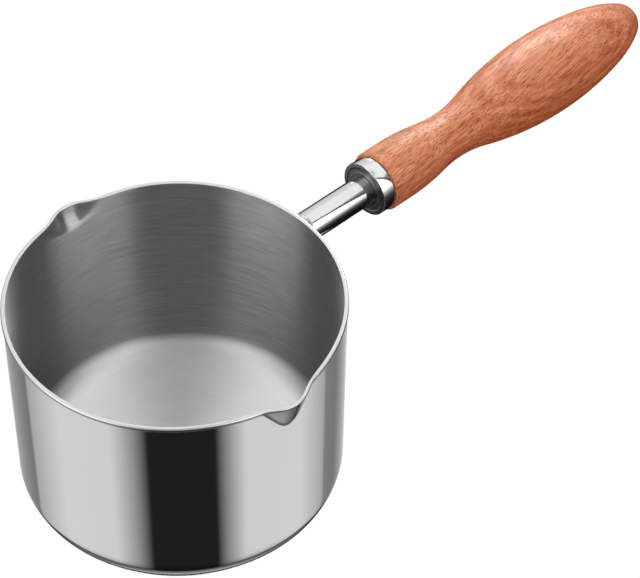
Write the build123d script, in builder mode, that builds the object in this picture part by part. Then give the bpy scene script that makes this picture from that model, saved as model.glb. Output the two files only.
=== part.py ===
from build123d import *
from math import asin, cos, hypot, radians, sin, sqrt, tan
import os

# Milk pan: a drawn steel pot with two pouring lips, and a turned wooden grip on a welded steel tube.
# Millimetres. The origin is on the underside, on the pot's axis. +Z is up and +X runs along the handle.

os.makedirs("parts", exist_ok=True)

# Pot
pot_diameter = 120.0
pot_height = 85.6
sheet = 1.2
corner_radius = 10.0

# Rounded bead along the rim
bead_overhang = 0.4
bead_height = 1.4
bead_top_round = 0.5
bead_under_round = 0.3
bead_inner_round = 0.25

# Pouring lips, pressed out of the wall opposite each other
lip_azimuth = 87.5
lip_width = 22.4
lip_depth = 14.2
lip_flank_angle = 30.0
lip_mouth_radius = 6.0
lip_point_radius = 3.0
lip_run_out = 1.6
lip_backing = 4.0
lip_crease_round = 0.4

# The rim sinks a little across each lip
dip_depth = 1.8
dip_width = 64.0

# Handle tube, welded to the wall just under the rim
handle_rise = 0.5
handle_drop = 6.4
tube_diameter = 11.7
tube_wall = 1.2
tube_length = 31.9
weld_leg = 2.4
weld_below_rim = 0.3

# Ferrule between the tube and the grip
ferrule_diameter = 21.5
ferrule_length = 5.9
ferrule_wall = 1.1
ferrule_front_round = 0.35
ferrule_hole_clearance = 0.3

# Stud, its plug in the tube and its insert in the wood
stud_diameter = 6.0
stud_chamfer = 0.6
plug_length = 14.0
stud_in_plug = 11.0
insert_diameter = 10.0
insert_length = 16.0
stud_in_insert = 14.0
fit_gap = 0.05
bore_spare = 4.0

# Turned grip
grip_length = 143.6
grip_neck_diameter = 23.7
grip_waist_diameter = 18.8
grip_belly_diameter = 33.0
grip_nose_radius = 8.7
grip_front_round = 0.9

# Where the neck starts to narrow, the waist, the belly and the tail lie, as shares of the grip's length
neck_share = 0.071
waist_share = 0.261
belly_share = 0.637
tail_share = 0.865

# The belly's arc as a share of the belly's and the waist's together
belly_arc_share = 0.736

overrun = 5.0
rim_slope_limit = 0.8

# Sizes that follow from those above
pot_radius = pot_diameter / 2
tube_radius = tube_diameter / 2
tube_bore_radius = tube_radius - tube_wall
ferrule_radius = ferrule_diameter / 2
ferrule_bore_radius = ferrule_radius - ferrule_wall
stud_radius = stud_diameter / 2
stud_bore_radius = stud_radius + fit_gap
insert_radius = insert_diameter / 2

# Places along the handle's axis, measured from the pot's axis
tube_end = pot_radius + tube_length
grip_front = tube_end + ferrule_length
spigot_front = tube_end + ferrule_wall
insert_end = spigot_front + insert_length

# The handle's axis crosses the pot's axis at the origin of this plane, which stands along the handle.
rise = radians(handle_rise)
handle_direction = Vector(cos(rise), 0, sin(rise))
handle_start = Vector(0, 0, pot_height - handle_drop - pot_radius * tan(rise))
handle_side = Plane(origin=handle_start, x_dir=handle_direction, z_dir=(0, -1, 0))
handle_axis = Axis(handle_start, handle_direction)


def across_handle(distance):
    """Plane square to the handle, looking away from the pot, at a distance from the pot's axis."""
    return Plane(origin=handle_start + handle_direction * distance, x_dir=(0, 1, 0), z_dir=handle_direction)


# Bead, outer wall and inner wall are one shape, drawn further out or in by an inset.
flank = radians(lip_flank_angle)
tip_cut_share = 1 / cos(flank) - 1
lip_half_width = lip_width / 2
lip_wall_point = sqrt(pot_radius**2 - lip_half_width**2)
mouth_reach = lip_wall_point + lip_half_width * tan(flank) - lip_mouth_radius * tip_cut_share
lip_azimuths = (lip_azimuth, lip_azimuth + 180)
form_height = pot_height + overrun


def cup_section(inset):
    """Half section of the cup, from its axis out to its wall."""
    radius = pot_radius - inset
    corner = corner_radius - inset
    with BuildSketch(Plane.XZ) as section:
        with BuildLine():
            Line((0, inset), (radius - corner, inset))
            RadiusArc((radius - corner, inset), (radius, corner_radius), -corner)
            Line((radius, corner_radius), (radius, form_height))
            Line((radius, form_height), (0, form_height))
            Line((0, form_height), (0, inset))
        make_face()
    return section.sketch


def lip_section(height, inset):
    """Section of a lip in plan at a height: two flanks that meet at a round tip."""
    share = (pot_height - height) / lip_depth
    tip_radius = lip_mouth_radius + (lip_point_radius - lip_mouth_radius) * share - inset
    tip = mouth_reach + (pot_radius - mouth_reach) * share - inset
    sharp_tip = tip + tip_radius * tip_cut_share
    back = lip_wall_point - lip_backing
    half_back = (sharp_tip - back) / tan(flank)
    with BuildSketch() as section:
        with BuildLine():
            Polyline((back, -half_back), (sharp_tip, 0), (back, half_back), close=True)
        make_face()
        fillet(section.vertices().sort_by(Axis.X)[-1], tip_radius)
    return section.sketch


def skin(inset):
    """The pot filled solid, with both lips and a small round along the creases where they leave the wall."""
    with BuildPart() as form:
        with BuildSketch(Plane.XZ):
            add(cup_section(inset))
        revolve(axis=Axis.Z)
        for azimuth in lip_azimuths:
            for height in (pot_height - lip_depth - lip_run_out, form_height):
                with BuildSketch(Plane.XY.offset(height)):
                    add(lip_section(height, inset), rotation=azimuth)
            loft()
        fillet(form.edges().filter_by(GeomType.BSPLINE), lip_crease_round + bead_overhang + inset)
    return form.part


# The plane that stands across both lips: x runs along the rim, y is up.
lip_direction = Vector(1, 0, 0).rotate(Axis.Z, lip_azimuth)
across_lips = Plane(origin=(0, 0, 0), x_dir=Vector(0, 0, 1).cross(lip_direction), z_dir=lip_direction)
half_dip = dip_width / 2


def dipped_block(level, limit):
    """Block between the rim's dipping line, moved to a level, and a limit above or below it."""
    reach = pot_radius + mouth_reach
    with BuildPart() as block:
        with BuildSketch(across_lips):
            with BuildLine():
                Line((-reach, level), (-half_dip, level))
                Spline(
                    (-half_dip, level),
                    (-half_dip / 2, level - dip_depth / 2),
                    (0, level - dip_depth),
                    (half_dip / 2, level - dip_depth / 2),
                    (half_dip, level),
                    tangents=((1, 0), (1, 0)),
                )
                Polyline((half_dip, level), (reach, level), (reach, limit), (-reach, limit), (-reach, level))
            make_face()
        extrude(amount=reach, both=True)
    return block.part


def outline_edges(form, heading):
    """Edges round the pot's outside on those faces of a filled form that look up (1) or down (-1)."""
    faces = form.faces().filter_by(lambda face: face.normal_at().Z * heading > rim_slope_limit)
    return faces.edges().filter_by(lambda edge: hypot((edge @ 0.5).X, (edge @ 0.5).Y) > pot_radius)


# Pot: cup and lips, a bead round the outside of the rim, hollowed by the inner skin
with BuildPart() as rim_bead:
    add(skin(-bead_overhang))
    add(dipped_block(pot_height - bead_height, -overrun), mode=Mode.SUBTRACT)
    fillet(outline_edges(rim_bead, -1), bead_under_round)

with BuildPart() as outer_form:
    add(skin(0))
    add(rim_bead.part)
    add(dipped_block(pot_height, form_height + overrun), mode=Mode.SUBTRACT)
    fillet(outline_edges(outer_form, 1), bead_top_round)

with BuildPart() as pan_body:
    add(outer_form.part)
    add(skin(sheet), mode=Mode.SUBTRACT)
    fillet(pan_body.edges(Select.NEW), bead_inner_round)
pan_body.part.label = "pan_body"
export_step(pan_body.part, "parts/pan_body.step")

# Handle tube: its foot is cut to the pot's outside, its end is square
with BuildPart() as tube_blank:
    with BuildSketch(across_handle(pot_radius - overrun)):
        Circle(tube_radius)
    extrude(amount=tube_length + overrun)

with BuildPart() as handle_tube:
    add(tube_blank.part)
    with BuildSketch(across_handle(pot_radius - overrun)):
        Circle(tube_bore_radius)
    extrude(amount=tube_length + overrun, mode=Mode.SUBTRACT)
    add(outer_form.part, mode=Mode.SUBTRACT)
handle_tube.part.label = "handle_tube"
export_step(handle_tube.part, "parts/handle_tube.step")

# Weld: the fillet in the corner of tube and wall, with both of them taken away again
with BuildPart() as wall_blank:
    Cylinder(pot_radius, pot_height + tube_diameter, align=(Align.CENTER, Align.CENTER, Align.MIN))

with BuildPart() as weld_bead:
    add(wall_blank.part)
    add(tube_blank.part)
    fillet(weld_bead.edges().filter_by(GeomType.BSPLINE), weld_leg)
    add(wall_blank.part, mode=Mode.SUBTRACT)
    add(tube_blank.part, mode=Mode.SUBTRACT)
    add(outer_form.part, mode=Mode.SUBTRACT)
    split(bisect_by=Plane.XY.offset(pot_height - weld_below_rim), keep=Keep.BOTTOM)
weld_bead.part.label = "weld_bead"
export_step(weld_bead.part, "parts/weld_bead.step")

# Plug: fills the tube's end and holds the stud
with BuildPart() as tube_plug:
    with BuildSketch(across_handle(tube_end - plug_length)):
        Circle(tube_bore_radius - fit_gap)
        Circle(stud_bore_radius, mode=Mode.SUBTRACT)
    extrude(amount=plug_length)
tube_plug.part.label = "tube_plug"
export_step(tube_plug.part, "parts/tube_plug.step")

# Stud: runs from the plug through the ferrule into the insert
with BuildPart() as tie_stud:
    with BuildSketch(across_handle(tube_end - stud_in_plug)):
        Circle(stud_radius)
    extrude(amount=stud_in_plug + ferrule_wall + stud_in_insert)
    chamfer(tie_stud.edges().filter_by(GeomType.CIRCLE), stud_chamfer)
tie_stud.part.label = "tie_stud"
export_step(tie_stud.part, "parts/tie_stud.step")

# Ferrule: a shallow cap over the front of the grip
with BuildPart() as ferrule:
    with BuildSketch(across_handle(tube_end)):
        Circle(ferrule_radius)
        Circle(stud_radius + ferrule_hole_clearance, mode=Mode.SUBTRACT)
    extrude(amount=ferrule_length)
    with BuildSketch(across_handle(spigot_front)):
        Circle(ferrule_bore_radius)
    extrude(amount=ferrule_length, mode=Mode.SUBTRACT)
    front_edges = ferrule.edges().filter_by(GeomType.CIRCLE).group_by(handle_axis)[0]
    fillet(front_edges.sort_by(SortBy.LENGTH)[-1], ferrule_front_round)
ferrule.part.label = "ferrule"
export_step(ferrule.part, "parts/ferrule.step")

# Insert: the nut sunk in the wood
with BuildPart() as threaded_insert:
    with BuildSketch(across_handle(spigot_front)):
        Circle(insert_radius)
        Circle(stud_bore_radius, mode=Mode.SUBTRACT)
    extrude(amount=insert_length)
threaded_insert.part.label = "threaded_insert"
export_step(threaded_insert.part, "parts/threaded_insert.step")

# Grip: a straight neck, a hollow waist, a full belly, a tail and a round nose, one tangent arc to the next
neck_radius = grip_neck_diameter / 2
waist_radius = grip_waist_diameter / 2
belly_radius = grip_belly_diameter / 2
neck_end = grip_front + grip_length * neck_share
waist_place = grip_front + grip_length * waist_share
belly_place = grip_front + grip_length * belly_share
tail_place = grip_front + grip_length * tail_share
grip_end = grip_front + grip_length


def arcs_together(run, step):
    """Sum of the radii of two tangent arcs that lead from one level to another."""
    return (run**2 + step**2) / (2 * step)


def on_arc(crest_place, crest_radius, arc, distance):
    """Point at a distance along the grip on an arc that is named by its crest."""
    return (distance, crest_radius - arc + arc * cos(asin((distance - crest_place) / arc)))


waist_to_belly = arcs_together(belly_place - waist_place, belly_radius - waist_radius)
belly_arc = waist_to_belly * belly_arc_share
waist_arc = waist_to_belly - belly_arc
neck_to_waist = arcs_together(waist_place - neck_end, neck_radius - waist_radius)
neck_arc = neck_to_waist - waist_arc
neck_turn = neck_end + (waist_place - neck_end) * neck_arc / neck_to_waist
belly_turn = waist_place + (belly_place - waist_place) * waist_arc / waist_to_belly

# The tail's arc touches the belly's at its start, and at its end the nose's, whose centre is on the axis.
tail_start = on_arc(belly_place, belly_radius, belly_arc, tail_place)
tail_sine = (tail_place - belly_place) / belly_arc
tail_cosine = sqrt(1 - tail_sine**2)
nose_centre = grip_end - grip_nose_radius
nose_run = tail_place - nose_centre
tail_arc = (nose_run**2 + tail_start[1] ** 2 - grip_nose_radius**2) / (
    2 * (tail_sine * nose_run + tail_cosine * tail_start[1] - grip_nose_radius)
)
tail_centre = (tail_place - tail_arc * tail_sine, tail_start[1] - tail_arc * tail_cosine)
nose_share = grip_nose_radius / (tail_arc - grip_nose_radius)
nose_start = (
    nose_centre + (nose_centre - tail_centre[0]) * nose_share,
    -tail_centre[1] * nose_share,
)

with BuildPart() as wood_grip:
    with BuildSketch(handle_side):
        with BuildLine():
            neck = Polyline((grip_front, 0), (grip_front, neck_radius), (neck_end, neck_radius))
            neck_curve = TangentArc(
                neck @ 1, on_arc(neck_end, neck_radius, neck_arc, neck_turn), tangent=(1, 0)
            )
            waist_curve = TangentArc(
                neck_curve @ 1,
                on_arc(belly_place, belly_radius, belly_arc, belly_turn),
                tangent=neck_curve % 1,
            )
            belly_curve = TangentArc(waist_curve @ 1, tail_start, tangent=waist_curve % 1)
            tail_curve = TangentArc(belly_curve @ 1, nose_start, tangent=belly_curve % 1)
            nose_curve = TangentArc(tail_curve @ 1, (grip_end, 0), tangent=tail_curve % 1)
            Line(nose_curve @ 1, neck @ 0)
        make_face()
    revolve(axis=handle_axis)
    fillet(wood_grip.edges().filter_by(GeomType.CIRCLE).sort_by(handle_axis)[0], grip_front_round)
    with BuildSketch(across_handle(spigot_front)):
        Circle(ferrule_bore_radius - fit_gap)
    extrude(amount=grip_front - spigot_front + overrun)
    with BuildSketch(across_handle(spigot_front)):
        Circle(insert_radius + fit_gap)
    extrude(amount=insert_length, mode=Mode.SUBTRACT)
    with BuildSketch(across_handle(insert_end - overrun)):
        Circle(stud_bore_radius)
    extrude(amount=overrun + bore_spare, mode=Mode.SUBTRACT)
wood_grip.part.label = "wood_grip"
export_step(wood_grip.part, "parts/wood_grip.step")
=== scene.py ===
import math

import bmesh
import bpy
from mathutils import Matrix, Vector


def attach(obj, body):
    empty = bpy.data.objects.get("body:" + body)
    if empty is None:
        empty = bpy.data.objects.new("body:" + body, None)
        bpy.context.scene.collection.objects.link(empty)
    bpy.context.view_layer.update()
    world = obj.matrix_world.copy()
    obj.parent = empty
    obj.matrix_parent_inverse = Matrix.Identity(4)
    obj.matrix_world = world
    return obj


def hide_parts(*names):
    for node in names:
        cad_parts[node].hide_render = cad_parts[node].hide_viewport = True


# Milk pan, in metres. The origin is under the pot, on its axis, and +X runs along the handle.

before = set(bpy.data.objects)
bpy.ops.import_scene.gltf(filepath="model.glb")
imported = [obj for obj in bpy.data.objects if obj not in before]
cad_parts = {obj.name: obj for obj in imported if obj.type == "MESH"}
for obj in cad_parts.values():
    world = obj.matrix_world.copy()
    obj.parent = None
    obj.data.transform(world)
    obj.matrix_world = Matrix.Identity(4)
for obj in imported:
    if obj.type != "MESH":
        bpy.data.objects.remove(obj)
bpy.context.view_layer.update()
mm = 0.001

# Pot. The bends say how late the lip's front sinks back into the wall, and the gain how much softer
# its creases get for each metre in from the outer skin.
pot_radius = 60.0 * mm
pan_sizes = {
    "Pot radius": pot_radius,
    "Pot height": 85.6 * mm,
    "Sheet": 1.2 * mm,
    "Corner radius": 10.0 * mm,
    "Bead overhang": 0.4 * mm,
    "Bead height": 1.4 * mm,
    "Bead top round": 0.5 * mm,
    "Bead under round": 0.3 * mm,
    "Bead foot round": 0.2 * mm,
    "Bead inner round": 0.25 * mm,
    "Lip azimuth": math.radians(88.6),
    "Lip half width": 12.0 * mm,
    "Lip depth": 13.6 * mm,
    "Lip depth inside": 9.0 * mm,
    "Lip bend": 1.2,
    "Lip bend inside": 3.0,
    "Lip flank angle": math.radians(30.0),
    "Lip mouth radius": 12.5 * mm,
    "Lip point radius": 9.0 * mm,
    "Lip least radius": 0.5 * mm,
    "Crease blend": 0.72 * mm,
    "Crease blend gain inside": 2600.0,
    "Dip depth": 1.2 * mm,
    "Dip half width": 32.0 * mm,
    "Fine zone": 18.0 * mm,
    "Fine row": 0.42 * mm,
    "Coarse row": 3.5 * mm,
    "Lip step": 0.25 * mm,
}
pan_counts = {
    "Quarter steps": 98,
    "Lip steps": 62,
    "Corner steps": 16,
    "Bead foot steps": 4,
    "Round steps": 6,
}

# How near two skins come, and how far apart points may be to count as one
touch = 0.01 * mm

# Handle. Distances run along its axis from the pot's own axis, and its height is that at the wall.
# The tube's foot, which follows the round wall, ends where the weld ends. Breaks are in degrees.
handle_rise = math.radians(0.5)
handle_height = 79.2 * mm
turning_steps = 128
shading_break = 32
tube_radius = 5.85 * mm
tube_bore_radius = 4.65 * mm
tube_foot_end = 64.0 * mm
tube_end = 91.9 * mm
tube_end_round = 0.15 * mm
tube_end_gap = 0.02 * mm
weld_shading_break = 28

# Ferrule, with a shallow groove turned in its face
ferrule_radius = 10.75 * mm
ferrule_length = 5.9 * mm
ferrule_wall = 1.1 * mm
ferrule_front_round = 0.35 * mm
ferrule_back_round = 0.2 * mm
ferrule_small_round = 0.1 * mm
ferrule_back_gap = 0.25 * mm
ferrule_hole_radius = 3.3 * mm
groove_depth = 0.15 * mm
groove_radii = (7.1 * mm, 7.4 * mm, 8.7 * mm, 9.1 * mm)

# Grip. The shares are of its length, and the last one is the belly's part of the radii of the two
# arcs between waist and belly.
grip_length = 143.6 * mm
neck_radius = 11.85 * mm
waist_radius = 9.4 * mm
belly_radius = 16.49 * mm
nose_radius = 8.7 * mm
front_round = 0.9 * mm
spigot_round = 0.2 * mm
grip_shares = {"neck": 0.071, "waist": 0.261, "belly": 0.637, "tail": 0.865, "belly arc": 0.736}
grip_turning_steps = 160
arc_steps = {"front": 8, "neck": 10, "waist": 40, "belly": 60, "tail": 24, "nose": 24}

# Brushing of the pot's inside. It changes from the wall's to the floor's between two heights, and
# the floor's arcs run round a point 28 mm from the pot's axis.
# The same two heights part the inside wall's painted shade from the floor's painted light
floor_top = 3.6 * mm
wall_foot = 7.6 * mm
floor_brushing_middle = (-19.5556 * mm, -20.0394 * mm)

# Wood: how many marks a metre holds along the grain and across it. The growth layers are waves
# round a heart outside the grip, that many radians to the metre.
grain_marks = {
    "wander": (18.0, 45.0),
    "fibre": (75.0, 1500.0),
    "strands": (50.0, 650.0),
    "cloud": (26.0, 70.0),
    "stain": (34.0, 120.0),
    "pores": (210.0, 2800.0),
}
growth_layers = 2300.0
heart_offset = 35.0 * mm
wood_tones = [
    (0.20, (0.27, 0.052, 0.016)),
    (0.36, (0.55, 0.152, 0.053)),
    (0.49, (0.71, 0.252, 0.108)),
    (0.70, (0.88, 0.400, 0.205)),
]
wood_red = (0.43, 0.092, 0.026, 1)
wood_pale = (0.97, 0.48, 0.25, 1)
wood_end = (0.42, 0.085, 0.025, 1)
wood_brown = (0.26, 0.085, 0.06, 1)
wood_pore = (0.17, 0.035, 0.014, 1)

# Camera
camera_place = Vector((-340.17, -420.48, 638.41)) * mm
camera_right = Vector((0.72602694, -0.68750691, 0.01480298))
camera_up = Vector((0.48230408, 0.52443497, 0.70167708))
camera_lens = 125.048
camera_film = 36.0
camera_reach = (0.01, 20.0)
camera_azimuth = math.radians(-134.3)

# Light that the room sends the polished wall, by the angle from the camera's side in degrees: the
# room's back, the left soft box, the dark card before the camera, the right soft box and the back
room_light = [
    (-180, 0.65), (-165, 0.7), (-155, 0.45), (-120, 0.25),
    (-118, 0.55), (-85, 1.0), (-45, 1.0), (-30, 0.5),
    (-18, 0.02), (28, 0.02),
    (34, 0.3), (50, 1.0), (95, 1.0), (122, 0.55),
    (124, 0.3), (140, 0.25), (170, 0.65),
]

# Room above the ground, by the same angle: where the soft boxes stand, the back wall, the ceiling,
# and a dark seam between two boxes
soft_boxes = [
    (-180, 0.0), (-88, 0.0), (-76, 1.0), (-36, 1.0), (-28, 0.115),
    (30, 0.115), (34, 1.0), (84, 1.0), (93, 0.0),
]
back_wall = [(-132, 1.0), (-120, 0.2), (120, 0.25), (132, 1.0)]
ceiling = [
    (-180, 2.2), (-60, 3.2), (-33, 3.2), (-26, 0.8),
    (27, 0.8), (34, 3.2), (70, 3.0), (100, 2.2),
]
box_seam = 88.0

# The same room by height: its light fades low on the wall, and the ground has its own straight down
low_fade = [(0.082, 0.15), (0.1, 1.0)]
ground_light = [(0.0, 0.5), (0.03, 0.45), (0.08, 0.2), (0.14, 0.14)]

# Light that dull surfaces get, from below to above
dull_light = [(0.25, (0.40, 0.19, 0.11)), (0.9, (1.2, 1.22, 1.24))]

# Cards that only reflections show: outline, light by the distance to the handle's right, and height
stage_cards = {
    "black_card": (
        [
            (0.118, -0.06), (0.118, 0.12), (0.2, 0.4), (0.6, 0.6),
            (0.60, -0.60), (0.11, -0.60), (0.105, -0.13),
        ],
        [(0.0, 0.01), (0.08, 0.02), (0.2, 0.14), (0.4, 0.5), (0.6, 0.8)],
        0.1 * mm,
    ),
    "back_card": (
        [
            (0.025, 0.058), (0.02, 0.085), (0.06, 0.12), (0.118, 0.12),
            (0.118, 0.0), (0.064, 0.0), (0.055, 0.032),
        ],
        [(0.0, 0.04)],
        0.1 * mm,
    ),
    "sheen_card": (
        [(0.195, 0.05), (0.33, 0.05), (0.46, 0.31), (0.32, 0.31)],
        [(0.0, 14.0)],
        200 * mm,
    ),
}

# Round shade under the pot's foot, which only reflections show too
foot_shade_light = 0.06
foot_shade_radius = 59.5 * mm
foot_shade_steps = 48

# White ground: half its side, its height, its own light and the share of it that takes shade
floor_reach = 3.0
floor_depth = -0.02 * mm
floor_glow = 1.03
floor_shade = 0.05


# node trees written as formulas


class Flow:
    """A value that runs through a node tree, so that sizes and patterns are written as formulas."""

    def __init__(self, tree, socket):
        self.tree = tree
        self.socket = socket

    def math(self, operation, *others):
        node = self.tree.nodes.new("ShaderNodeMath")
        node.operation = operation
        for socket, value in zip(node.inputs, (self, *others)):
            wire(self.tree, socket, value)
        return Flow(self.tree, node.outputs[0])

    def held(self, low=None, high=None):
        """The value, no lower than one bound and no higher than another."""
        value = self if low is None else self.math("MAXIMUM", low)
        return value if high is None else value.math("MINIMUM", high)

    def __add__(self, other):
        return self.math("ADD", other)

    def __radd__(self, other):
        return self.math("ADD", other)

    def __sub__(self, other):
        return self.math("SUBTRACT", other)

    def __rsub__(self, other):
        return self.math("MULTIPLY", -1.0).math("ADD", other)

    def __mul__(self, other):
        return self.math("MULTIPLY", other)

    def __rmul__(self, other):
        return self.math("MULTIPLY", other)

    def __truediv__(self, other):
        return self.math("DIVIDE", other)

    def __rtruediv__(self, other):
        return self.math("POWER", -1.0).math("MULTIPLY", other)

    def __neg__(self):
        return self.math("MULTIPLY", -1.0)


def wire(tree, socket, value):
    """Links a flowing value to a socket, or sets the socket to a plain one."""
    if isinstance(value, Flow):
        value = value.socket
    if isinstance(value, bpy.types.NodeSocket):
        tree.links.new(value, socket)
    else:
        socket.default_value = value


def step(tree, kind, wires=None, output=0, **settings):
    """Adds one node with its settings and inputs, and gives the value that flows out of it."""
    node = tree.nodes.new(kind)
    for name, value in settings.items():
        setattr(node, name, value)
    for name, value in (wires or {}).items():
        wire(tree, node.inputs[name], value)
    return Flow(tree, node.outputs[output])


def joined(tree, x, y, z):
    """A vector from its three parts."""
    return step(tree, "ShaderNodeCombineXYZ", {0: x, 1: y, 2: z})


def parts_of(tree, vector):
    """The three parts of a vector."""
    node = tree.nodes.new("ShaderNodeSeparateXYZ")
    wire(tree, node.inputs[0], vector)
    return [Flow(tree, socket) for socket in node.outputs]


def picked(tree, kind, index, values):
    """The value that belongs to an index."""
    node = tree.nodes.new("GeometryNodeIndexSwitch")
    node.data_type = kind
    while len(node.index_switch_items) < len(values):
        node.index_switch_items.new()
    wire(tree, node.inputs[0], index)
    for number, value in enumerate(values):
        wire(tree, node.inputs[number + 1], value)
    return Flow(tree, node.outputs[0])


def stored(tree, geometry, name, value, kind="FLOAT"):
    """The geometry with a named value kept at each point."""
    return step(
        tree,
        "GeometryNodeStoreNamedAttribute",
        {"Geometry": geometry, "Name": name, "Value": value},
        data_type=kind,
        domain="POINT",
    )


def named(tree, name):
    """A value that was kept at each point."""
    return step(tree, "GeometryNodeInputNamedAttribute", {"Name": name}, data_type="FLOAT")


# pan


def pressed_pan_tree(outside, rim, inside):
    """The pot turned from its half section, with two lips pressed out and the rim dipping there."""
    tree = bpy.data.node_groups.new("pressed_pan", "GeometryNodeTree")
    for name in pan_sizes:
        tree.interface.new_socket(name, in_out="INPUT", socket_type="NodeSocketFloat")
    for name in pan_counts:
        tree.interface.new_socket(name, in_out="INPUT", socket_type="NodeSocketInt")
    tree.interface.new_socket("Pan", in_out="OUTPUT", socket_type="NodeSocketGeometry")
    entry = tree.nodes.new("NodeGroupInput")
    size = {name: Flow(tree, entry.outputs[name]) for name in (*pan_sizes, *pan_counts)}
    radius, height, sheet = size["Pot radius"], size["Pot height"], size["Sheet"]
    corner, bead, over = size["Corner radius"], size["Bead height"], size["Bead overhang"]
    fine_start = height - size["Fine zone"]
    inner = radius - sheet
    nothing = radius * 0.0

    # Half section, from under the pot's centre, up the outside, over the bead and down to the floor
    corners = [
        (nothing, nothing, nothing),
        (radius, nothing, corner),
        (radius, fine_start, nothing),
        (radius, height - bead, size["Bead foot round"]),
        (radius + over, height - bead, size["Bead under round"]),
        (radius + over, height, size["Bead top round"]),
        (inner, height, size["Bead inner round"]),
        (inner, fine_start, nothing),
        (inner, sheet, corner - sheet),
        (nothing, sheet, nothing),
    ]
    index = step(tree, "GeometryNodeInputIndex")
    line = step(tree, "GeometryNodeMeshLine", {"Count": len(corners)}, mode="OFFSET")
    points = [joined(tree, across, up, 0.0) for across, up, _ in corners]
    line = step(
        tree,
        "GeometryNodeSetPosition",
        {"Geometry": line, "Position": picked(tree, "VECTOR", index, points)},
    )
    section = step(tree, "GeometryNodeMeshToCurve", {0: line})
    steps = [1, size["Corner steps"], 1, size["Bead foot steps"], *[size["Round steps"]] * 3]
    steps += [1, size["Corner steps"], 1]
    section = step(
        tree,
        "GeometryNodeFilletCurve",
        {
            "Curve": section,
            "Count": picked(tree, "INT", index, steps),
            "Radius": picked(tree, "FLOAT", index, [turn for _, _, turn in corners]),
        },
        mode="POLY",
    )

    # Rows along the section, close together near the rim
    position = step(tree, "GeometryNodeInputPosition")
    after = step(
        tree,
        "GeometryNodeFieldAtIndex",
        {"Value": position, "Index": index + 1.0},
        data_type="FLOAT_VECTOR",
        domain="POINT",
    )
    x0, y0, _ = parts_of(tree, position)
    x1, y1, _ = parts_of(tree, after)
    run = ((x1 - x0) * (x1 - x0) + (y1 - y0) * (y1 - y0)).math("SQRT")
    upper = y0.math("MINIMUM", y1).math("GREATER_THAN", fine_start - touch)
    row = size["Coarse row"] + (size["Fine row"] - size["Coarse row"]) * upper
    section = step(
        tree, "GeometryNodeSubdivideCurve", {"Curve": section, "Cuts": (run / row).math("FLOOR")}
    )
    section = stored(tree, section, "section radius", x0)
    section = stored(tree, section, "section height", y0)
    along = step(tree, "GeometryNodeSplineParameter", output=1)
    section = stored(tree, section, "along", along)

    # Ring of steps, close together at the lips
    quarter, near = size["Quarter steps"], size["Lip steps"]
    ring = step(
        tree,
        "GeometryNodeCurvePrimitiveCircle",
        {"Resolution": quarter * 4.0, "Radius": radius},
        mode="RADIUS",
    )
    half = (index / (quarter * 2.0)).math("ADD", 0.5).math("FLOOR")
    from_lip = index - half * quarter * 2.0
    count = from_lip.math("ABSOLUTE")
    near_step = size["Lip step"] / radius
    far_step = (math.pi / 2 - near * near_step) / (quarter - near)
    turn = near_step * count.held(high=near) + far_step * (count - near).held(0.0)
    offset = from_lip.math("SIGN") * turn
    ring = stored(tree, ring, "lip offset", offset)
    ring = stored(tree, ring, "azimuth", size["Lip azimuth"] + half * math.pi + offset)
    pan = step(tree, "GeometryNodeCurveToMesh", {"Curve": ring, "Profile Curve": section})

    # Lips: two flanks that meet at a round tip, sinking back into the wall with depth
    base, level = named(tree, "section radius"), named(tree, "section height")
    swing = named(tree, "lip offset").math("ABSOLUTE")
    bearing = named(tree, "azimuth")
    cos_swing, sin_swing = swing.math("COSINE"), swing.math("SINE")
    slope = size["Lip flank angle"].math("TANGENT")
    cos_flank = size["Lip flank angle"].math("COSINE")
    sin_flank = size["Lip flank angle"].math("SINE")
    half_width = size["Lip half width"]
    wall_point = (radius * radius - half_width * half_width).math("SQRT")
    tip_cut = 1.0 / cos_flank - 1.0
    mouth_radius = size["Lip mouth radius"]
    narrowing = size["Lip point radius"] - mouth_radius
    mouth_reach = wall_point + half_width * slope - mouth_radius * tip_cut
    inset = radius - base
    inside_share = (inset / sheet).held(0.0, 1.0)
    depth = size["Lip depth"] + (size["Lip depth inside"] - size["Lip depth"]) * inside_share
    bend = size["Lip bend"] + (size["Lip bend inside"] - size["Lip bend"]) * inside_share
    soft = size["Crease blend"] * (1.0 + size["Crease blend gain inside"] * inset.held(0.0))

    def pressed(at_level):
        """How far the skin reaches from the pot's axis at this bearing and height."""
        share = (height - at_level).held(0.0) / depth
        tip_radius = (mouth_radius + narrowing * share - inset).held(size["Lip least radius"])
        tip = mouth_reach + (radius - mouth_reach) * share.math("POWER", bend) - inset
        centre = tip - tip_radius
        on_flank = (tip + tip_radius * tip_cut) / (cos_swing + sin_swing * slope)
        beside = centre * sin_swing
        rise = (tip_radius * tip_radius - beside * beside).held(0.0).math("SQRT")
        on_tip = centre * cos_swing + rise
        tip_swing = (tip_radius * sin_flank).math("ARCTAN2", centre + tip_radius * cos_flank)
        flat = swing.math("GREATER_THAN", tip_swing)
        near_lip = swing.math("LESS_THAN", size["Lip flank angle"])
        lip = (on_tip + (on_flank - on_tip) * flat + 1.0) * near_lip - 1.0
        return base.math("SMOOTH_MAX", lip, soft)

    # The rim dips across each lip, and the rows under it sink with it
    beside_lip = (pressed(level) * sin_swing / size["Dip half width"]).held(high=1.0)
    sink = size["Dip depth"] * 0.5 * (1.0 + (beside_lip * math.pi).math("COSINE"))
    share_of_sink = ((level - fine_start) / (height - bead - fine_start)).held(0.0, 1.0)
    sunk = level - sink * share_of_sink
    reach = pressed(sunk)
    place = joined(tree, reach * bearing.math("COSINE"), reach * bearing.math("SINE"), sunk)
    pan = step(tree, "GeometryNodeSetPosition", {"Geometry": pan, "Position": place})
    pan = stored(
        tree,
        pan,
        "brushing",
        joined(tree, bearing.math("COSINE"), bearing.math("SINE"), named(tree, "along")),
        "FLOAT_VECTOR",
    )

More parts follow.
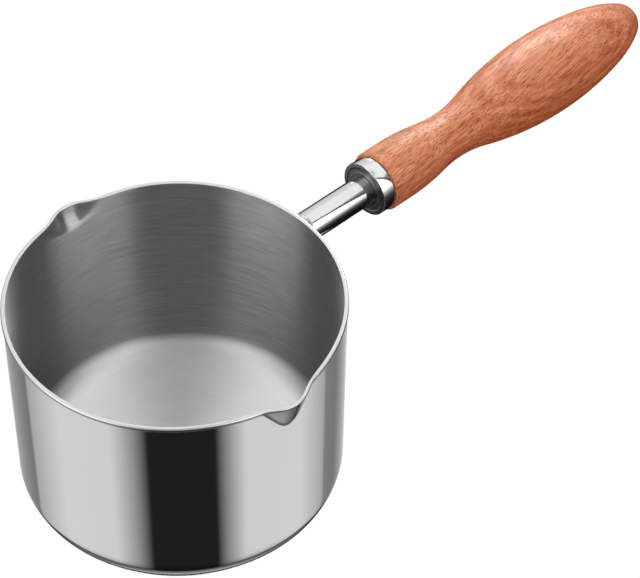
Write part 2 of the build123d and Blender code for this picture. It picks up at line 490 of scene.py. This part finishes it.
    # The two poles of the turned skin are closed, and each zone gets its metal
    at_pole = base.math("LESS_THAN", touch / 10)
    pan = step(
        tree,
        "GeometryNodeMergeByDistance",
        {"Geometry": pan, "Selection": at_pole, "Distance": touch},
    )
    pan = step(tree, "GeometryNodeSetShadeSmooth", {"Geometry": pan})
    pan = step(tree, "GeometryNodeRealizeInstances", {"Geometry": pan})
    pan = step(tree, "GeometryNodeSetMaterial", {"Geometry": pan, "Material": outside})
    by_rim = level.math("GREATER_THAN", height - bead - 10 * touch)
    on_bead = by_rim * base.math("GREATER_THAN", inner - touch)
    within = level.math("GREATER_THAN", sheet * 0.5) * base.math("LESS_THAN", inner + touch)
    for zone, metal in ((on_bead, rim), (within, inside)):
        pan = step(
            tree,
            "GeometryNodeSetMaterial",
            {"Geometry": pan, "Selection": zone.math("GREATER_THAN", 0.5), "Material": metal},
        )
    leave = tree.nodes.new("NodeGroupOutput")
    wire(tree, leave.inputs[0], pan)
    return tree


def plain_mesh(piece):
    """The piece's shape with its modifiers worked in."""
    made = piece.evaluated_get(bpy.context.evaluated_depsgraph_get())
    mesh = bpy.data.meshes.new_from_object(made)
    piece.modifiers.clear()
    piece.data = mesh
    return piece


def outward(piece):
    """Turns the faces of a closed piece outwards."""
    form = bmesh.new()
    form.from_mesh(piece.data)
    bmesh.ops.recalc_face_normals(form, faces=form.faces)
    form.to_mesh(piece.data)
    form.free()
    return piece


def new_piece(name, mesh):
    """An object in the scene with this mesh."""
    piece = bpy.data.objects.new(name, mesh)
    bpy.context.scene.collection.objects.link(piece)
    return piece


def pressed_pan(metals):
    """The pot as a plain mesh, with the metals of its outside, rim and inside."""
    piece = new_piece("pressed_pan", bpy.data.meshes.new("pressed_pan"))
    tree = pressed_pan_tree(*metals)
    maker = piece.modifiers.new("pressed_pan", "NODES")
    maker.node_group = tree
    for socket in tree.interface.items_tree:
        if socket.in_out == "INPUT":
            sizes = pan_sizes if socket.name in pan_sizes else pan_counts
            maker[socket.identifier] = sizes[socket.name]
    return outward(plain_mesh(piece))


# turned pieces of the handle


def on_handle(distance, radius, turn):
    """Point at a distance along the handle's axis and a radius from it."""
    side, up = radius * math.cos(turn), radius * math.sin(turn)
    rise = distance - pot_radius
    return Vector(
        (
            distance * math.cos(handle_rise) - up * math.sin(handle_rise),
            side,
            handle_height + rise * math.sin(handle_rise) + up * math.cos(handle_rise),
        )
    )


def rounded(corners, steps=5):
    """Outline through corners (distance, radius, round), each with its own round."""
    outline = []
    for number, (x, y, turn) in enumerate(corners):
        here = Vector((x, y))
        before = (Vector(corners[number - 1][:2]) - here).normalized()
        after = (Vector(corners[(number + 1) % len(corners)][:2]) - here).normalized()
        if turn == 0:
            outline.append((x, y))
            continue
        half = before.angle(after) / 2
        middle = here + (before + after).normalized() * (turn / math.sin(half))
        start = here + before * (turn / math.tan(half)) - middle
        end = here + after * (turn / math.tan(half)) - middle
        first = math.atan2(start.y, start.x)
        sweep = (math.atan2(end.y, end.x) - first + math.pi) % (2 * math.pi) - math.pi
        for at in range(steps + 1):
            angle = first + sweep * at / steps
            outline.append((middle.x + turn * math.cos(angle), middle.y + turn * math.sin(angle)))
    return outline


def shade(form, sharp):
    """Smooth shading, broken at edges sharper than an angle in degrees."""
    for face in form.faces:
        face.smooth = True
    for edge in form.edges:
        edge.smooth = len(edge.link_faces) == 2 and edge.calc_face_angle(0) < math.radians(sharp)


def turned(name, outline, segments=turning_steps, closed=True, place=on_handle):
    """Solid of revolution round the handle's axis. A radius of 0 closes it at a pole."""
    form = bmesh.new()
    rings = []
    for distance, radius in outline:
        if radius == 0:
            rings.append([form.verts.new(place(distance, 0, 0))])
        else:
            rings.append(
                [
                    form.verts.new(place(distance, radius, 2 * math.pi * at / segments))
                    for at in range(segments)
                ]
            )
    pairs = list(zip(rings, rings[1:]))
    if closed:
        pairs.append((rings[-1], rings[0]))
    for first, second in pairs:
        for at in range(segments):
            after = (at + 1) % segments
            corners = [first[at % len(first)], first[after % len(first)]]
            corners += [second[after % len(second)], second[at % len(second)]]
            form.faces.new(list(dict.fromkeys(corners)))
    bmesh.ops.recalc_face_normals(form, faces=form.faces)
    shade(form, shading_break)
    mesh = bpy.data.meshes.new(name)
    form.to_mesh(mesh)
    form.free()
    return new_piece(name, mesh)


def arc_points(middle, radius, start, end, steps):
    """Points on an arc, given by its middle and the distances where it starts and ends."""
    sines = (max(-1.0, min(1.0, (at - middle[0]) / radius)) for at in (start, end))
    first, last = (math.asin(sine) for sine in sines)
    side = 1 if radius > 0 else -1
    radius = abs(radius)
    first, last = first * side, last * side
    return [
        (
            middle[0] + radius * math.sin(first + (last - first) * at / steps),
            middle[1] + side * radius * math.cos(first + (last - first) * at / steps),
        )
        for at in range(1, steps + 1)
    ]


def grip_outline():
    """Neck, waist, belly, tail and nose of the turned grip, one tangent arc to the next."""
    front = tube_end + ferrule_length
    neck, waist, belly, tail = (
        front + grip_length * grip_shares[name] for name in ("neck", "waist", "belly", "tail")
    )
    end = front + grip_length

    def together(run, rise):
        """Sum of the radii of two tangent arcs that lead from one radius to another."""
        return (run**2 + rise**2) / (2 * rise)

    waist_to_belly = together(belly - waist, belly_radius - waist_radius)
    belly_arc = waist_to_belly * grip_shares["belly arc"]
    waist_arc = waist_to_belly - belly_arc
    neck_to_waist = together(waist - neck, neck_radius - waist_radius)
    neck_arc = neck_to_waist - waist_arc
    neck_turn = neck + (waist - neck) * neck_arc / neck_to_waist
    belly_turn = waist + (belly - waist) * waist_arc / waist_to_belly
    sine = (tail - belly) / belly_arc
    cosine = math.sqrt(1 - sine**2)
    tail_radius = belly_radius - belly_arc + belly_arc * cosine
    nose = end - nose_radius
    run = tail - nose
    tail_arc = (run**2 + tail_radius**2 - nose_radius**2) / (
        2 * (sine * run + cosine * tail_radius - nose_radius)
    )
    tail_middle = (tail - tail_arc * sine, tail_radius - tail_arc * cosine)
    nose_start = nose + (nose - tail_middle[0]) * nose_radius / (tail_arc - nose_radius)
    spigot = tube_end + ferrule_wall
    ferrule_bore = ferrule_radius - ferrule_wall
    outline = rounded(
        [
            (spigot, 0, 0),
            (spigot, ferrule_bore, spigot_round),
            (front, ferrule_bore, 0),
            (front, neck_radius, front_round),
            (neck, neck_radius, 0),
        ],
        arc_steps["front"],
    )
    for name, middle, radius, start, stop in (
        ("neck", (neck, neck_radius - neck_arc), neck_arc, neck, neck_turn),
        ("waist", (waist, waist_radius + waist_arc), -waist_arc, neck_turn, belly_turn),
        ("belly", (belly, belly_radius - belly_arc), belly_arc, belly_turn, tail),
        ("tail", tail_middle, tail_arc, tail, nose_start),
        ("nose", (nose, 0), nose_radius, nose_start, end),
    ):
        outline += arc_points(middle, radius, start, stop, arc_steps[name])
    return outline[:-1] + [(end, 0)]


def ferrule_outline():
    """Cap with a hole for the stud, a face with a ring groove and an open back."""
    back = tube_end + ferrule_length - ferrule_back_gap
    bore = ferrule_radius - ferrule_wall
    inner_face, groove = tube_end + ferrule_wall, tube_end + groove_depth
    groove_corners = zip((tube_end, groove, groove, tube_end), groove_radii)
    return rounded(
        [
            (tube_end, ferrule_radius, ferrule_front_round),
            (back, ferrule_radius, ferrule_back_round),
            (back, bore, ferrule_small_round),
            (inner_face, bore, 0),
            (inner_face, ferrule_hole_radius, 0),
            (tube_end, ferrule_hole_radius, 0),
            *((at, radius, ferrule_small_round) for at, radius in groove_corners),
        ]
    )


def tube_outline():
    """Tube from the pot's wall to the ferrule."""
    end = tube_end - tube_end_gap
    return rounded(
        [
            (pot_radius, tube_bore_radius, 0),
            (pot_radius, tube_radius, 0),
            (tube_foot_end, tube_radius, 0),
            (end, tube_radius, tube_end_round),
            (end, tube_bore_radius, 0),
        ]
    )


def foot_of_tube(distance, radius, turn):
    """Place on the tube, with its foot cut to the pot's round wall."""
    point = on_handle(distance, radius, turn)
    if distance == pot_radius:
        point.x = math.sqrt(pot_radius**2 - point.y**2) + touch
    return point


def smooth_copy(node, name):
    """The solid's own shape with its points joined and its rounds shaded smooth."""
    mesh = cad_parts[node].data.copy()
    form = bmesh.new()
    form.from_mesh(mesh)
    bmesh.ops.remove_doubles(form, verts=form.verts, dist=touch / 5)
    bmesh.ops.dissolve_degenerate(form, edges=form.edges, dist=touch / 10)
    shade(form, weld_shading_break)
    form.to_mesh(mesh)
    form.free()
    mesh.materials.clear()
    return new_piece(name, mesh)


# finishes


def finish_tree(name):
    """A new finish, its node tree and its shader."""
    material = bpy.data.materials.new(name)
    material.use_nodes = True
    tree = material.node_tree
    shader = tree.nodes["Principled BSDF"]
    return material, tree, shader


def object_place(tree):
    """Place of each point, in metres."""
    return step(tree, "ShaderNodeTexCoord", output=3)


def stretched(tree, vector, scale, shift=(0, 0, 0)):
    """A place with its three directions scaled and shifted."""
    return step(tree, "ShaderNodeMapping", {"Vector": vector, "Location": shift, "Scale": scale})


def noise(tree, vector, detail, roughness, scale=1.0):
    """Clouds between 0 and 1, with finer ones laid over them."""
    return step(
        tree,
        "ShaderNodeTexNoise",
        {"Vector": vector, "Scale": scale, "Detail": detail, "Roughness": roughness},
    )


def ranged(tree, value, start, end, smooth=False):
    """A value carried over from one range to another."""
    return step(
        tree,
        "ShaderNodeMapRange",
        {0: value, 1: start[0], 2: start[1], 3: end[0], 4: end[1]},
        interpolation_type="SMOOTHSTEP" if smooth else "LINEAR",
    )


def coloured(tree, value, stops):
    """Colour by a value, from stops of a place and a colour or a grey."""
    node = tree.nodes.new("ShaderNodeValToRGB")
    wire(tree, node.inputs[0], value)
    ramp = node.color_ramp
    while len(ramp.elements) > 1:
        ramp.elements.remove(ramp.elements[-1])
    for number, (place, colour) in enumerate(stops):
        element = ramp.elements[0] if number == 0 else ramp.elements.new(place)
        element.position = place
        element.color = (*(colour if isinstance(colour, tuple) else (colour,) * 3), 1.0)
    return Flow(tree, node.outputs[0])


def mixed(tree, factor, first, second, blend="MIX"):
    """Two colours mixed by a factor, from the first to the second."""
    node = tree.nodes.new("ShaderNodeMix")
    node.data_type = "RGBA"
    node.blend_type = blend
    wire(tree, node.inputs[0], factor)
    wire(tree, node.inputs[6], first)
    wire(tree, node.inputs[7], second)
    return Flow(tree, node.outputs[2])


def bumped(tree, height, strength, distance):
    """Surface direction with a fine relief in it."""
    wires = {"Height": height, "Strength": strength, "Distance": distance}
    return step(tree, "ShaderNodeBump", wires)


def grey(level):
    """A grey as a colour."""
    return (level, level, level, 1)


def darker(colour, share):
    """The colour with this share of its light."""
    return (*[part * share for part in colour], 1)


def brushing_place(tree):
    """Place on the pot's skin: its bearing, and how far along the section it lies."""
    return step(tree, "ShaderNodeAttribute", output=1, attribute_name="brushing")


def round_the_pot(tree, on_floor):
    """Direction of the brushing: round the pot's axis, and in flatter arcs on the floor."""
    x, y, _ = parts_of(tree, object_place(tree))
    middle_x, middle_y = floor_brushing_middle
    return joined(tree, on_floor * middle_y - y, x - on_floor * middle_x, 0.0)


def mirror_steel(name, colour, roughness):
    """Stainless steel polished bright, with the faint rings of the polishing wheel."""
    material, tree, shader = finish_tree(name)
    round_about = stretched(tree, brushing_place(tree), (1.5, 1.5, 9000.0))
    rings = noise(tree, round_about, 3.0, 0.6)
    cloud = noise(tree, object_place(tree), 3.0, 0.5, scale=38.0)
    shader.inputs["Metallic"].default_value = 1.0
    tone = mixed(tree, cloud, darker(colour, 0.97), (*colour, 1))
    wire(tree, shader.inputs["Base Color"], tone)
    grain = ranged(tree, rings * 0.6 + cloud * 0.4, (0.35, 0.7), (roughness * 0.7, roughness * 1.5))
    wire(tree, shader.inputs["Roughness"], grain)
    wire(tree, shader.inputs["Normal"], bumped(tree, rings, 0.05, 0.02 * mm))
    return material


def satin_steel(name, wall_painted_shade_tone, floor_painted_light_tone):
    """Stainless steel brushed in fine rings round the inside, with a duller floor. The wall's tone
    is darkened as painted shade and the floor's paled as painted light.
    """
    material, tree, shader = finish_tree(name)
    place = brushing_place(tree)
    ahead, beside, along = parts_of(tree, place)

    # Fine hairs round the pot, and two kinds of longer scratches that climb and fall a little
    hair = noise(tree, stretched(tree, place, (5.0, 5.0, 4200.0)), 3.0, 0.65)
    rising = joined(tree, ahead * 5.0, beside * 5.0, along * 1500.0 + beside * 4.0)
    falling = joined(tree, ahead * 4.0 + 7.0, beside * 4.0, along * 1100.0 - beside * 5.0)
    line = noise(tree, rising, 2.0, 0.6)
    band = noise(tree, falling, 2.0, 0.6)
    cloud = noise(tree, object_place(tree), 3.0, 0.5, scale=30.0)
    marks = hair * 0.34 + line * 0.36 + band * 0.3
    worn = ranged(tree, marks, (0.38, 0.62), (0.0, 1.0))
    _, _, height = parts_of(tree, object_place(tree))
    on_floor = ranged(tree, height, (floor_top, wall_foot), (1.0, 0.0), smooth=True)
    shader.inputs["Metallic"].default_value = 1.0
    # The darker wall tone is painted shade and the paler floor tone painted light, parted by height
    wall = mixed(tree, worn, darker(wall_painted_shade_tone, 0.72), (*wall_painted_shade_tone, 1))
    floor = mixed(tree, worn, darker(floor_painted_light_tone, 0.95), (*floor_painted_light_tone, 1))
    wire(tree, shader.inputs["Base Color"], mixed(tree, on_floor, wall, floor))
    rough = ranged(tree, marks * 0.8 + cloud * 0.2, (0.35, 0.65), (0.36, 0.44))
    wire(tree, shader.inputs["Roughness"], rough + on_floor * 0.3)
    shader.inputs["Anisotropic"].default_value = 1.0
    shader.inputs["Anisotropic Rotation"].default_value = 0.25
    wire(tree, shader.inputs["Tangent"], round_the_pot(tree, on_floor))
    wire(tree, shader.inputs["Normal"], bumped(tree, marks, 0.22, 0.02 * mm))
    return material


def turned_metal(name, colour, roughness, pitch):
    """Plain metal with the fine rings left by the lathe along the handle's axis."""
    material, tree, shader = finish_tree(name)
    place = object_place(tree)
    rings = noise(tree, stretched(tree, place, (1 / pitch, 20.0, 20.0)), 3.0, 0.6)
    cloud = noise(tree, place, 3.0, 0.5, scale=120.0)
    shader.inputs["Metallic"].default_value = 1.0
    tone = mixed(tree, cloud, darker(colour, 0.93), (*colour, 1))
    wire(tree, shader.inputs["Base Color"], tone)
    grain = ranged(tree, rings * 0.5 + cloud * 0.5, (0.3, 0.7), (roughness * 0.7, roughness * 1.5))
    wire(tree, shader.inputs["Roughness"], grain)
    wire(tree, shader.inputs["Normal"], bumped(tree, rings, 0.06, 0.01 * mm))
    return material


def turned_face(name, colour, roughness):
    """Faced end of a turned ring, with the lathe's rings round the handle's axis. The rings are its
    own, and their strong dark tone and the face's darker colour are painted shade.
    """
    material, tree, shader = finish_tree(name)
    _, y, z = parts_of(tree, object_place(tree))
    up = z - handle_height - (tube_end - pot_radius) * math.sin(handle_rise)
    across = (y * y + up * up).math("SQRT")
    rings = noise(tree, joined(tree, across * 3200.0, 0.0, 0.0), 3.0, 0.6)
    shader.inputs["Metallic"].default_value = 1.0
    worn = ranged(tree, rings, (0.35, 0.65), (0.0, 1.0))
    # The dark tone in the rings is painted shade
    tone = mixed(tree, worn, darker(colour, 0.45), (*colour, 1))
    wire(tree, shader.inputs["Base Color"], tone)
    grain = ranged(tree, rings, (0.3, 0.7), (roughness, roughness * 1.3))
    wire(tree, shader.inputs["Roughness"], grain)
    wire(tree, shader.inputs["Normal"], bumped(tree, rings, 0.3, 0.05 * mm))
    return material


def grip_wood(name):
    """Reddish hardwood, half gloss, with growth layers, fibres and short dark pores."""
    material, tree, shader = finish_tree(name)
    x, y, z = parts_of(tree, object_place(tree))
    up = z - handle_height

    # The grain runs along the grip, tilted a little out of its axis
    lift = y * 0.6 + up * 0.8 - x * 0.13
    deep = up * 0.6 - y * 0.8
    place = joined(tree, x, lift, deep)

    def marks(name, detail, roughness, shift=(0, 0, 0)):
        along, across = grain_marks[name]
        fine = stretched(tree, place, (along, across, across), shift)
        return noise(tree, fine, detail, roughness)

    wander = marks("wander", 3.0, 0.55)
    aside, across = lift + heart_offset, deep + x * 0.1
    heart = (aside * aside + across * across).math("SQRT")
    layer = (heart * growth_layers + wander * 14.0).math("SINE") * 0.5 + 0.5
    fibre = marks("fibre", 4.0, 0.75)
    strands = marks("strands", 3.0, 0.65, (3, 0, 0))
    cloud = marks("cloud", 3.0, 0.6, (1.7, 0, 0))
    stain = marks("stain", 3.0, 0.6, (5.1, 2, 0))
    pore = ranged(tree, marks("pores", 2.0, 0.5), (0.53, 0.64), (0.0, 1.0), smooth=True)
    figure = fibre * 0.95 + strands * 0.6 + layer * 0.14 + cloud * 0.3 - 0.5
    base = coloured(tree, figure, wood_tones)

    # Redder clouds, a paler neck, a darker end, brown stains and the pores, one over the other
    for share, tone in (
        (ranged(tree, cloud, (0.46, 0.62), (0.0, 0.24), smooth=True), wood_red),
        (ranged(tree, x + cloud * 0.03, (0.125, 0.18), (0.2, 0.0), smooth=True), wood_pale),
        (ranged(tree, x + strands * 0.008, (0.226, 0.245), (0.0, 0.6), smooth=True), wood_end),
        (ranged(tree, stain, (0.58, 0.7), (0.0, 0.28), smooth=True), wood_brown),
        (pore * 0.68, wood_pore),
    ):
        base = mixed(tree, share, base, tone)
    wire(tree, shader.inputs["Base Color"], base)
    wire(tree, shader.inputs["Roughness"], ranged(tree, fibre, (0.3, 0.7), (0.45, 0.6)))
    shader.inputs["Specular IOR Level"].default_value = 0.15
    shader.inputs["Coat Weight"].default_value = 0.2
    shader.inputs["Coat Roughness"].default_value = 0.2
    shader.inputs["Coat IOR"].default_value = 1.45
    grooves = fibre * 0.7 + strands * 0.5 - pore * 0.7
    wire(tree, shader.inputs["Normal"], bumped(tree, grooves, 0.7, 0.12 * mm))
    skin = strands * 0.5 + fibre * 0.8 - pore * 0.6
    wire(tree, shader.inputs["Coat Normal"], bumped(tree, skin, 0.6, 0.14 * mm))
    return material


# stage


def turn_share(angle):
    """Share of a full turn at an angle in degrees from the camera's side."""
    return (angle + 180) / 360


def round_room(tree, around, lights):
    """Light of the room by the angle from the camera's side."""
    return coloured(tree, around, [(turn_share(angle), light) for angle, light in lights])


def studio_light():
    """Soft white room for the wood, and the room that the polished steel mirrors."""
    world = bpy.data.worlds.new("studio")
    bpy.context.scene.world = world
    world.use_nodes = True
    tree = world.node_tree
    tree.nodes.clear()
    x, y, z = parts_of(tree, step(tree, "ShaderNodeTexCoord", output=0))
    turn = (y.math("ARCTAN2", x) - camera_azimuth) / (2 * math.pi)
    around = (turn + 0.5).math("FLOORED_MODULO", 1.0)

    # Below the horizon: the room that the wall mirrors, fading downwards, and the ground
    low = round_room(tree, around, room_light)
    low = mixed(tree, 1.0, low, coloured(tree, z * 0.5 + 0.5, low_fade), "MULTIPLY")
    down = coloured(tree, z + 1.0, ground_light)
    low = mixed(tree, ranged(tree, z, (-0.9, -0.85), (1.0, 0.0), smooth=True), low, down)

    # Above it: soft boxes before the back wall, a dark seam between two of them, and the ceiling
    sides, above, back = (round_room(tree, around, at) for at in (soft_boxes, ceiling, back_wall))
    box_level = ranged(tree, z, (0.05, 0.6), (2.1, 5.6))
    box = mixed(tree, box_level / 10.0, grey(0), grey(10))
    back_level = mixed(tree, ranged(tree, z, (0.1, 0.8), (0.0, 1.0)), grey(1.4), grey(2.0))
    sides = mixed(tree, sides, mixed(tree, 1.0, back, back_level, "MULTIPLY"), box)
    above = mixed(tree, ranged(tree, z, (0.87, 0.95), (0.0, 1.0), smooth=True), above, grey(0.65))
    high = mixed(tree, ranged(tree, z, (0.6, 0.72), (0.0, 1.0), smooth=True), sides, above)
    seam = (around - turn_share(box_seam)).math("ABSOLUTE")
    high = mixed(tree, ranged(tree, seam, (0.006, 0.011), (1.0, 0.0)), high, grey(0.03))
    mirrored = mixed(tree, ranged(tree, z, (-0.03, 0.05), (0.0, 1.0), smooth=True), low, high)

    # Dull surfaces get a soft light from above, and warm light from below
    toward_light = z * 0.8 + y * 0.45 + x * 0.1
    lit = coloured(tree, ranged(tree, toward_light, (-1.0, 1.0), (0.0, 1.0)), dull_light)
    path = tree.nodes.new("ShaderNodeLightPath")
    seen = mixed(tree, path.outputs["Is Glossy Ray"], lit, mirrored)
    seen = mixed(tree, path.outputs["Is Camera Ray"], seen, grey(1))
    background = step(tree, "ShaderNodeBackground", {"Color": seen})
    leave = tree.nodes.new("ShaderNodeOutputWorld")
    wire(tree, leave.inputs[0], background)


def stage_tree(name):
    """A new finish of the stage, its node tree and its end."""
    material = bpy.data.materials.new(name)
    material.use_nodes = True
    tree = material.node_tree
    tree.nodes.clear()
    return material, tree, tree.nodes.new("ShaderNodeOutputMaterial").inputs[0]


def flat_stage(name, corners, material, height):
    """Flat sheet of the stage, at a height."""
    mesh = bpy.data.meshes.new(name)
    mesh.from_pydata([(x, y, height) for x, y in corners], [], [list(range(len(corners)))])
    piece = new_piece(name, mesh)
    mesh.materials.append(material)
    return piece


def pale_floor():
    """White ground, lit by itself with a trace of shade. The steel mirrors the room instead."""
    material, tree, end = stage_tree("pale_floor")
    paper = noise(tree, object_place(tree), 2.0, 0.5, scale=900.0)
    shade = mixed(tree, paper, grey(0.9), grey(0.92))
    matt = step(tree, "ShaderNodeBsdfDiffuse", {"Color": shade})
    glow = step(tree, "ShaderNodeEmission", {"Color": grey(1), "Strength": floor_glow})
    wire(tree, end, step(tree, "ShaderNodeMixShader", {0: floor_shade, 1: glow, 2: matt}))
    far = floor_reach
    corners = [(-far, -far), (far, -far), (far, far), (-far, far)]
    floor = flat_stage("floor", corners, material, floor_depth)
    floor.visible_glossy = False
    floor.visible_diffuse = False


def mirrored_card(name, corners, lights, height):
    """Card that only reflections show, with its light by the distance to the handle's right."""
    material, tree, end = stage_tree(name)
    _, beside, _ = parts_of(tree, object_place(tree))
    shade = coloured(tree, -beside, lights)
    wire(tree, end, step(tree, "ShaderNodeEmission", {"Color": shade}))
    card = flat_stage(name, corners, material, height)
    card.visible_camera = False
    card.visible_diffuse = False
    card.visible_shadow = False


def mirrored_cards():
    """Flat cards round the pan, and the shade under its foot."""
    for name, (corners, lights, height) in stage_cards.items():
        mirrored_card(name, corners, lights, height)
    turns = [2 * math.pi * at / foot_shade_steps for at in range(foot_shade_steps)]
    reach = foot_shade_radius
    under = [(reach * math.cos(turn), reach * math.sin(turn)) for turn in turns]
    mirrored_card("foot_shade", under, [(0.0, foot_shade_light)], -touch)


def photo_camera():
    """Camera at the photograph's viewing angle."""
    data = bpy.data.cameras.new("photo_camera")
    data.lens = camera_lens
    data.sensor_width = camera_film
    data.sensor_fit = "HORIZONTAL"
    data.clip_start, data.clip_end = camera_reach
    camera = bpy.data.objects.new("photo_camera", data)
    bpy.context.scene.collection.objects.link(camera)
    back = camera_right.cross(camera_up)
    turn = Matrix((camera_right, camera_up, back)).transposed().to_4x4()
    camera.matrix_world = Matrix.Translation(camera_place) @ turn
    bpy.context.scene.camera = camera
    bpy.context.scene.view_settings.view_transform = "Standard"


# the pan, put together

photo_camera()
studio_light()
pale_floor()
mirrored_cards()

pan = pressed_pan(
    (
        mirror_steel("mirror_steel", colour=(0.61, 0.61, 0.605), roughness=0.05),
        # The rim bead is the outside's steel in a darker tone, painted shade, and rougher
        mirror_steel("rim_steel_painted_shade", colour=(0.36, 0.36, 0.358), roughness=0.3),
        # The inside's wall tone is painted shade and its floor tone painted light
        satin_steel("satin_steel", wall_painted_shade_tone=(0.3, 0.3, 0.298), floor_painted_light_tone=(0.95, 0.95, 0.945)),
    )
)
tube = turned("welded_tube", tube_outline(), place=foot_of_tube)
weld = smooth_copy("weld_bead", "weld_fillet")
band = turned("ferrule_band", ferrule_outline())
for piece, metal, colour, roughness, pitch in (
    (tube, "tube_steel", (0.38, 0.38, 0.378), 0.08, 0.25 * mm),
    # The weld's dark tone is painted shade where the tube meets the wall
    (weld, "weld_steel", (0.26, 0.26, 0.257), 0.5, 0.4 * mm),
    (band, "ferrule_steel", (0.39, 0.39, 0.388), 0.09, 0.2 * mm),
):
    piece.data.materials.append(turned_metal(metal, colour, roughness, pitch))
band.data.materials.append(turned_face("ferrule_face_painted_shade", colour=(0.3, 0.3, 0.298), roughness=0.3))
# The end that faces the pot shows the rings of facing, in a darker tone of the steel that is
# painted shade
for face in band.data.polygons:
    if face.normal.x < -0.8:
        face.material_index = 1
grip = turned("turned_grip", grip_outline(), grip_turning_steps, closed=False)
grip.data.materials.append(grip_wood("oiled_hardwood"))

for piece, node, slot in (
    (pan, "pan_body", "pan_steel"),
    (tube, "handle_tube", "tube_steel"),
    (weld, "weld_bead", "weld_steel"),
    (band, "ferrule", "ferrule_steel"),
    (grip, "wood_grip", "grip_wood"),
):
    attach(piece, "root")
    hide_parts(node)

# Hidden hardware inside the handle keeps its solids
screw_steel = turned_metal("bright_screw_steel", (0.6, 0.6, 0.59), 0.22, pitch=0.3 * mm)
screw_brass = turned_metal("screw_brass", (0.72, 0.52, 0.24), 0.25, pitch=0.3 * mm)
for node, metal in (
    ("tube_plug", screw_steel),
    ("tie_stud", screw_steel),
    ("threaded_insert", screw_brass),
):
    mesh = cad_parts[node].data
    mesh.materials.clear()
    mesh.materials.append(metal)
